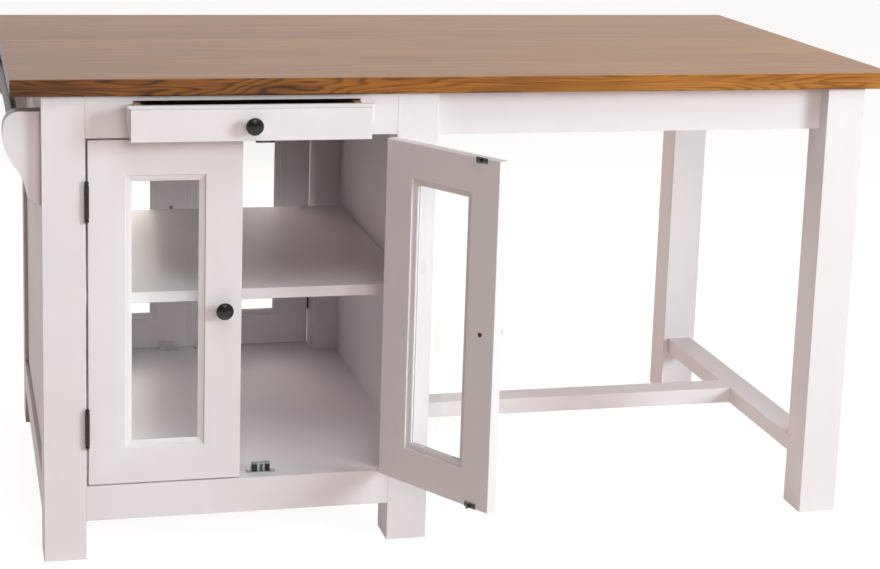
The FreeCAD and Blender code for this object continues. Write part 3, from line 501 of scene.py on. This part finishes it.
pin = hinge_pin("front_left_door")
leg_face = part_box("leg_front_left")[1].x
leaves_low, leaves_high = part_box("front_left_door_hinge_leaves")
third = BARREL_LENGTH / 3
for number, z in enumerate((leaves_low.z, leaves_high.z - BARREL_LENGTH), start=1):
    on_leg = hinge(z, -1, [(z, third), (z + 2 * third, third)], pin, leg_face)
    on_door = hinge(z, 1, [(z + third + KNUCKLE_GAP, third - 2 * KNUCKLE_GAP)], pin, leg_face)
    for door in DOORS:
        twin = copy_to(on_leg, "%s_fixed_hinge_%d" % (door, number), bay_of(door))
        finish_piece(twin, iron, "black_iron", "island", "fixed_hinges")
        twin = copy_to(on_door, "%s_hinge_%d" % (door, number), places[door])
        finish_piece(twin, iron, "black_iron", door, door + "_hinge_leaves")
    bpy.data.objects.remove(on_leg)
    bpy.data.objects.remove(on_door)

# Roller catches. A folded zinc bracket screwed to the cabinet floor or hung under the catch rail, with two
# steel rollers in sprung black cheeks, and a spear-headed striker screwed to the door's inner face.
CATCH_INSET = 0.0423
CATCH_DOOR_GAP = 0.002
CATCH_DEPTH = 0.014
CATCH_HEIGHT = 0.0175
CATCH_BODY_WIDTH = 0.035
CATCH_EAR = 0.0095
CATCH_METAL = 0.0012
ROLLER_RADIUS = 0.0034
CATCH_EASE = 0.00035
CATCH_SCREW = (0.0031, 0.0011)
ROLLER_OFFSET = 0.0052
ROLLER_DEPTH = 0.006
ROLLER_NECK = 0.0011
CHEEK_REACH = (0.0096, 0.0166)
CHEEK_DEPTH = (0.0008, 0.0112)
CHEEK_EASE = 0.001
STRIKER_HEIGHT = 0.0068
STRIKER_PLATE = (0.027, 0.0012, 0.010)
STRIKER_EASE = 0.0002
STRIKER_SCREW = (0.0028, 0.0011)
STRIKER_SCREW_OFFSET = 0.0092
TONGUE_WIDTH = 0.0018
TONGUE_HEIGHT = 0.008
TONGUE_INSET = 0.0008
# How far the tongue goes on at each step, and how wide it is there.
TONGUE_STEPS = [(0.006, 0.0018), (0.0008, 0.003), (0.0032, 0.0009)]
NEAR = 0.0001
zinc = metal("zinc", (0.4, 0.43, 0.45, 1), (0.62, 0.65, 0.66, 1), 0.25, 0.55)
# The strikers' zinc is painted near black, standing in for the shade they sit in.
zinc_in_painted_shade = metal("zinc_in_painted_shade", (0.07, 0.07, 0.072, 1), (0.2, 0.2, 0.2, 1), 0.25, 1.0)
nylon = metal("black_nylon", (0.012, 0.012, 0.013, 1), (0.03, 0.03, 0.03, 1), 0.4, 0.0)


def select_edges(piece, wanted):
    """Selects the edges whose middle point is wanted."""
    mesh = bmesh.from_edit_mesh(piece.data)
    for edge in mesh.edges:
        edge.select_set(False)
    for edge in mesh.edges:
        if wanted((edge.verts[0].co + edge.verts[1].co) / 2):
            edge.select_set(True)
    bmesh.update_edit_mesh(piece.data)


def catch_bracket(x, front, floor):
    """A strip folded up and over from its screw plate, with an ear on each side."""
    rear = front + CATCH_DEPTH
    bpy.ops.object.select_all(action="DESELECT")
    bpy.ops.mesh.primitive_plane_add(size=1, location=(x, (front + rear) / 2, floor))
    piece = bpy.context.object
    piece.scale = (CATCH_BODY_WIDTH, CATCH_DEPTH, 1)
    bpy.ops.object.transform_apply(location=True, rotation=True, scale=True)
    bpy.ops.object.mode_set(mode="EDIT")
    bpy.ops.mesh.select_mode(type="EDGE")
    select_edges(piece, lambda middle: middle.y > rear - NEAR)
    bpy.ops.mesh.extrude_edges_move(TRANSFORM_OT_translate={"value": (0, 0, CATCH_HEIGHT)})
    bpy.ops.mesh.extrude_edges_move(TRANSFORM_OT_translate={"value": (0, -CATCH_DEPTH, 0)})
    for side in (-1, 1):
        edge_x = x + side * CATCH_BODY_WIDTH / 2
        select_edges(piece, lambda middle: abs(middle.x - edge_x) < NEAR and middle.z < floor + NEAR)
        bpy.ops.mesh.extrude_edges_move(TRANSFORM_OT_translate={"value": (side * CATCH_EAR, 0, 0)})
    bpy.ops.mesh.select_all(action="SELECT")
    bpy.ops.mesh.normals_make_consistent(inside=False)
    mesh = bmesh.from_edit_mesh(piece.data)
    base = [face for face in mesh.faces if face.calc_center_median().z < floor + NEAR][0]
    if base.normal.z > 0:
        bpy.ops.mesh.flip_normals()
    bpy.ops.object.mode_set(mode="OBJECT")
    wall = piece.modifiers.new("wall", "SOLIDIFY")
    wall.thickness = CATCH_METAL
    wall.offset = -1
    wall.use_even_offset = True
    bpy.ops.object.modifier_apply(modifier="wall")
    ease = piece.modifiers.new("ease", "BEVEL")
    ease.width = CATCH_EASE
    ease.segments = 2
    bpy.ops.object.modifier_apply(modifier="ease")
    return put_down("catch_bracket")


def catch(x, front, floor):
    """The bracket with its screws, the pair of rollers, and the pair of cheeks."""
    base = floor + CATCH_METAL
    clear = CATCH_HEIGHT - 2 * CATCH_METAL
    middle = front + CATCH_DEPTH / 2
    ear_middle = (CATCH_BODY_WIDTH + CATCH_EAR) / 2
    heads = [cross_head("head", (x + side * ear_middle, middle, base), (0, 0, 1), *CATCH_SCREW)
             for side in (-1, 1)]
    bracket = join("catch_bracket", catch_bracket(x, front, floor), *heads)
    half = [(0, ROLLER_NECK), (0.0007, ROLLER_NECK), (0.0007, 0.0028), (0.0012, ROLLER_RADIUS)]
    profile = half + [(clear - reach, radius) for reach, radius in reversed(half)]
    rollers, cheeks = [], []
    for side in (-1, 1):
        foot = (x + side * ROLLER_OFFSET, front + ROLLER_DEPTH, base)
        rollers.append(turned("roller", foot, (0, 0, 1), profile))
        left, right = sorted(x + side * reach for reach in CHEEK_REACH)
        cheeks.append(eased_block("cheek", (left, front + CHEEK_DEPTH[0], base),
                                  (right, front + CHEEK_DEPTH[1], base + clear), CHEEK_EASE, 3))
    return bracket, join("catch_rollers_pair", *rollers), join("catch_cheeks", *cheeks)


def striker(x, face, z):
    """A plate with a spear-headed tongue drawn out of its middle, and two screws."""
    size = Vector(STRIKER_PLATE)
    bpy.ops.object.select_all(action="DESELECT")
    bpy.ops.mesh.primitive_cube_add(size=1, location=(x, face + size.y / 2, z))
    piece = bpy.context.object
    piece.scale = size
    bpy.ops.object.transform_apply(location=True, rotation=True, scale=True)
    bpy.ops.object.mode_set(mode="EDIT")
    bpy.ops.mesh.select_mode(type="FACE")
    mesh = bmesh.from_edit_mesh(piece.data)
    for part in mesh.faces:
        part.select_set(part.normal.y > 0.9)
    bmesh.update_edit_mesh(piece.data)
    bpy.ops.mesh.inset(thickness=TONGUE_INSET)
    centre = Vector((x, face + size.y, z))
    bpy.ops.transform.resize(value=(TONGUE_WIDTH / (size.x - 2 * TONGUE_INSET), 1,
                                    TONGUE_HEIGHT / (size.z - 2 * TONGUE_INSET)), center_override=centre)
    width = TONGUE_WIDTH
    for step, wide in TONGUE_STEPS:
        centre.y += step
        bpy.ops.mesh.extrude_region_move(TRANSFORM_OT_translate={"value": (0, step, 0)})
        bpy.ops.transform.resize(value=(wide / width, 1, 1), center_override=centre)
        width = wide
    bpy.ops.object.mode_set(mode="OBJECT")
    ease = piece.modifiers.new("ease", "BEVEL")
    ease.width = STRIKER_EASE
    ease.segments = 2
    bpy.ops.object.modifier_apply(modifier="ease")
    plate = put_down("striker_plate")
    heads = [cross_head("head", (x + side * STRIKER_SCREW_OFFSET, face + size.y, z), (0, 1, 0), *STRIKER_SCREW)
             for side in (-1, 1)]
    return join("striker", plate, *heads)


floor_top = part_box("cabinet_floor")[1].z
rail_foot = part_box("front_top_rail")[0].z
door_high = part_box("front_left_door_frame")[1]
catch_x = door_high.x - CATCH_INSET
turn_over = Matrix.Translation((0, 0, floor_top + rail_foot)) @ Matrix.Scale(-1, 4, (0, 0, 1))
catch_pieces = catch(catch_x, door_high.y + CATCH_DOOR_GAP, floor_top)
one_striker = striker(catch_x, door_high.y, floor_top + STRIKER_HEIGHT)
catch_finish = [(zinc, "zinc", "roller_catches"), (zinc, "zinc", "catch_rollers"),
                (nylon, "black_nylon", "catch_rollers")]
for door in DOORS:
    for level, flip in (("lower", Matrix()), ("upper", turn_over)):
        for piece, (material, slot, node) in zip(catch_pieces, catch_finish):
            twin = copy_to(piece, "%s_%s_%s" % (door, level, piece.name), bay_of(door) @ flip)
            finish_piece(twin, material, slot, "island", node)
        twin = copy_to(one_striker, "%s_%s_striker" % (door, level), places[door] @ flip)
        finish_piece(twin, zinc_in_painted_shade, "zinc", door, door + "_strikers")
for piece in catch_pieces + (one_striker,):
    bpy.data.objects.remove(piece)

# Towel rail. Two scrolled brackets, painted with the frame, and a round iron rail held in their sockets.
finish_node("towel_bracket_front", paint["z"])
finish_node("towel_bracket_rear", paint["z"])
finish_node("towel_rail", dark_iron)

# Worktop. Solid boards glued edge to edge, stained brown, varnished to a satin shine and screwed down on
# the frame. The grain runs from end to end, with darker growth lines and a few small knots on the edges.
STAIN_DARK = (0.05, 0.013, 0.001, 1)
STAIN_MID = (0.27, 0.088, 0.006, 1)
STAIN_LIGHT = (0.5, 0.21, 0.035, 1)
BOARD_WIDTH = 0.1125
KNOT_SPACING = 0.24
KNOT_RADIUS = 0.022
GROWTH_LINES = 34.0
STAIN_ROUGHNESS = 0.3
PORE_DEPTH = 0.0004
GROWTH_LINE = [(0.0, (0.7, 0.7, 0.7, 1)), (0.14, (0, 0, 0, 1)), (0.66, (0.2, 0.2, 0.2, 1)),
               (0.92, (1, 1, 1, 1)), (1.0, (0.7, 0.7, 0.7, 1))]


def stained_wood(name):
    material, shade = new_material(name)
    point = shade.node("TexCoord", out="Object")
    length, depth = [shade.node("SeparateXYZ", {}, {"Vector": point}, out=axis) for axis in (0, 1)]
    board = shade.node("Math", {"operation": "FLOOR"}, {0: depth / BOARD_WIDTH})
    luck = shade.node("TexWhiteNoise", {"noise_dimensions": "1D"}, {"W": board}, out="Value")
    shift = shade.node("CombineXYZ", {}, {"X": luck * 7.0, "Y": luck * 3.0, "Z": luck * 5.0})
    moved = shade.node("VectorMath", {"operation": "ADD"}, {0: point, 1: shift})
    # Growth lines are the contours of a slow cloud, and bend round each knot.
    reach = shade.node("TexVoronoi", {}, {"Vector": stretched(shade, moved, (0.55, 1, 1)),
                                          "Scale": 1 / KNOT_SPACING}, out="Distance")
    knot = shade.node("MapRange", {"interpolation_type": "SMOOTHSTEP"},
                      {"Value": reach, "From Min": KNOT_RADIUS * 3 / KNOT_SPACING, "From Max": 0.0})
    heart = noise(shade, stretched(shade, moved, (1.3, 13.0, 13.0)), 1.1, 2.5, 0.45)
    ring = shade.node("Math", {"operation": "FRACT"}, {0: heart * GROWTH_LINES + knot * 4.0})
    line = shade.node("ValToRGB", {"stops": GROWTH_LINE}, {"Fac": ring})
    pore = noise(shade, stretched(shade, moved, (7.0, 230.0, 230.0)), 1.0, 4, 0.6)
    streak = noise(shade, stretched(shade, moved, (3.2, 75.0, 75.0)), 1.0, 3)
    cloud = noise(shade, moved, 2.6, 3)
    # The face is sawn flat and shows fainter lines than the edges. A painted sheen makes the wood paler
    # towards the right end, more on the edges than on the face.
    upward = shade.node("SeparateXYZ", {}, {"Vector": shade.node("NewGeometry", out="Normal")}, out=2)
    lines = line * (0.32 - upward * 0.28) + knot * (0.26 - upward * 0.2)
    painted_sheen_slope = (length - 0.75) * (0.28 - upward * 0.12)
    tone = (0.58 + upward * 0.06 - lines + (pore - 0.5) * 0.7 + (cloud - 0.5) * (0.4 - upward * 0.15) +
            (streak - 0.5) * (0.2 + upward * 0.35) + (luck - 0.5) * 0.06 + painted_sheen_slope)
    colour = shade.node("ValToRGB", {"stops": [(0.12, STAIN_DARK), (0.5, STAIN_MID), (0.88, STAIN_LIGHT)]},
                        {"Fac": tone})
    relief = shade.node("Bump", {}, {"Strength": 0.1, "Distance": PORE_DEPTH, "Height": pore})
    surface(shade, Base_Color=colour, Roughness=STAIN_ROUGHNESS + pore * 0.14, Normal=relief,
            Specular_IOR_Level=0.52)
    return material


finish_node("worktop", stained_wood("stained_top"))

# Studio. A pale floor that runs out of sight, and a white room behind it that the lens, metal and glass
# see. The room itself gives a weak warm light, and four soft lamps give the rest.
FLOOR_REACH = 60.0
FLOOR_COLOUR = (0.84, 0.71, 0.635, 1)
FLOOR_PALE = (0.9, 0.88, 0.86, 1)
FLOOR_GLOW = 1.34
ROOM_LIGHT = (1.0, 0.62, 0.44, 1)
ROOM_LIGHT_AHEAD = (1.0, 0.86, 0.79, 1)
ROOM_STRENGTH = 0.175
WHITE = (1, 1, 1, 1)


def seen_directly(shade):
    """1 where the lens, a reflection or a pane looks straight at the surface."""
    lens = shade.node("LightPath", out="Is Camera Ray")
    mirror = shade.node("LightPath", out="Is Glossy Ray")
    pane = shade.node("LightPath", out="Is Transmission Ray")
    return shade.sum("MAXIMUM", shade.sum("MAXIMUM", lens, mirror), pane)


def studio_floor():
    bpy.ops.object.select_all(action="DESELECT")
    bpy.ops.mesh.primitive_grid_add(x_subdivisions=4, y_subdivisions=4, size=FLOOR_REACH)
    floor = bpy.context.object
    floor.name = "studio_floor"
    material, shade = new_material("studio_floor")
    cloud = noise(shade, place(shade), 0.7, 2)
    matt = shade.node("BsdfDiffuse", {}, {"Color": mix(shade, cloud * 0.2, FLOOR_COLOUR, FLOOR_PALE)})
    glow = shade.node("Emission", {}, {"Color": WHITE, "Strength": FLOOR_GLOW})
    both = shade.node("MixShader", {}, {0: seen_directly(shade) * 0.68, 1: matt, 2: glow})
    shade.node("OutputMaterial", {}, {"Surface": both})
    floor.data.materials.append(material)


studio_floor()
world = bpy.data.worlds.new("white_room")
bpy.context.scene.world = world
world.use_nodes = True
world.node_tree.nodes.clear()
room = Shade(world.node_tree)
direction = room.node("TexCoord", out="Generated")
side, ahead = [room.node("SeparateXYZ", {}, {"Vector": direction}, out=axis) for axis in (0, 1)]
soft = (side * 0.6 + ahead * 0.7 + 1.0) * ROOM_STRENGTH
# The wall behind the island is white, and the side where the lens stands is dim.
wall = room.node("MapRange", {}, {"Value": ahead, "From Min": -0.3, "From Max": 0.3, "To Min": 0.12,
                                  "To Max": 1.0})
bright = room.sum("MAXIMUM", wall, room.node("LightPath", out="Is Camera Ray"))
strength = soft * (1.0 - seen_directly(room)) + seen_directly(room) * bright
warmth = mix(room, room.sum("MAXIMUM", ahead, 0.0), ROOM_LIGHT, ROOM_LIGHT_AHEAD)
tint = mix(room, seen_directly(room), warmth, WHITE)
room.node("OutputWorld", {}, {"Surface": room.node("Background", {}, {"Color": tint, "Strength": strength})})


def softbox(name, position, target, size, power, colour, in_reflections=True):
    lamp = bpy.data.lights.new(name, "AREA")
    lamp.shape = "DISK"
    lamp.size = size
    lamp.energy = power
    lamp.color = colour
    holder = bpy.data.objects.new(name, lamp)
    holder.location = position
    holder.rotation_euler = (Vector(target) - Vector(position)).to_track_quat("-Z", "Y").to_euler()
    holder.visible_glossy = in_reflections
    bpy.context.scene.collection.objects.link(holder)


softbox("key_lamp", (5.8, -4.1, 2.4), (0.6, 0.3, 0.5), 2.6, 335, (0.84, 0.97, 1.0), False)
softbox("overhead_lamp", (0.6, -2.2, 4.2), (0.6, 0.2, 0.5), 2.4, 55, (0.95, 1.0, 1.0))
softbox("high_front_lamp", (0.7, -4.8, 2.3), (0.5, 0.2, 0.4), 1.6, 54, (1.0, 0.92, 0.9), False)
softbox("back_lamp", (-0.1, 3.2, 1.2), (0.45, 0.5, 0.4), 1.2, 34, (1.0, 0.86, 0.79), False)

# Camera. A long lens a little to the left of the island and well above the top, shifted down so that the
# whole island stands in the picture.
CAMERA_PLACE = (-0.2029, -3.475, 1.4477)
CAMERA_YAW = 0.24702
CAMERA_PITCH = 0.19728
CAMERA_ROLL = -0.03096
LENS = 79.86
LENS_SHIFT = (0.0145, -0.14)
SENSOR_WIDTH = 36
lens = bpy.data.cameras.new("camera")
lens.sensor_width = SENSOR_WIDTH
lens.lens = LENS
lens.shift_x, lens.shift_y = LENS_SHIFT
camera = bpy.data.objects.new("camera", lens)
forward = Vector((math.sin(CAMERA_YAW) * math.cos(CAMERA_PITCH),
                  math.cos(CAMERA_YAW) * math.cos(CAMERA_PITCH), -math.sin(CAMERA_PITCH)))
level = Vector((math.cos(CAMERA_YAW), -math.sin(CAMERA_YAW), 0))
down = forward.cross(level)
right = level * math.cos(CAMERA_ROLL) + down * math.sin(CAMERA_ROLL)
up = level * math.sin(CAMERA_ROLL) - down * math.cos(CAMERA_ROLL)
camera.matrix_world = Matrix.Translation(CAMERA_PLACE) @ Matrix((right, up, -forward)).transposed().to_4x4()
bpy.context.scene.collection.objects.link(camera)
bpy.context.scene.camera = camera
bpy.context.scene.view_settings.view_transform = "Standard"
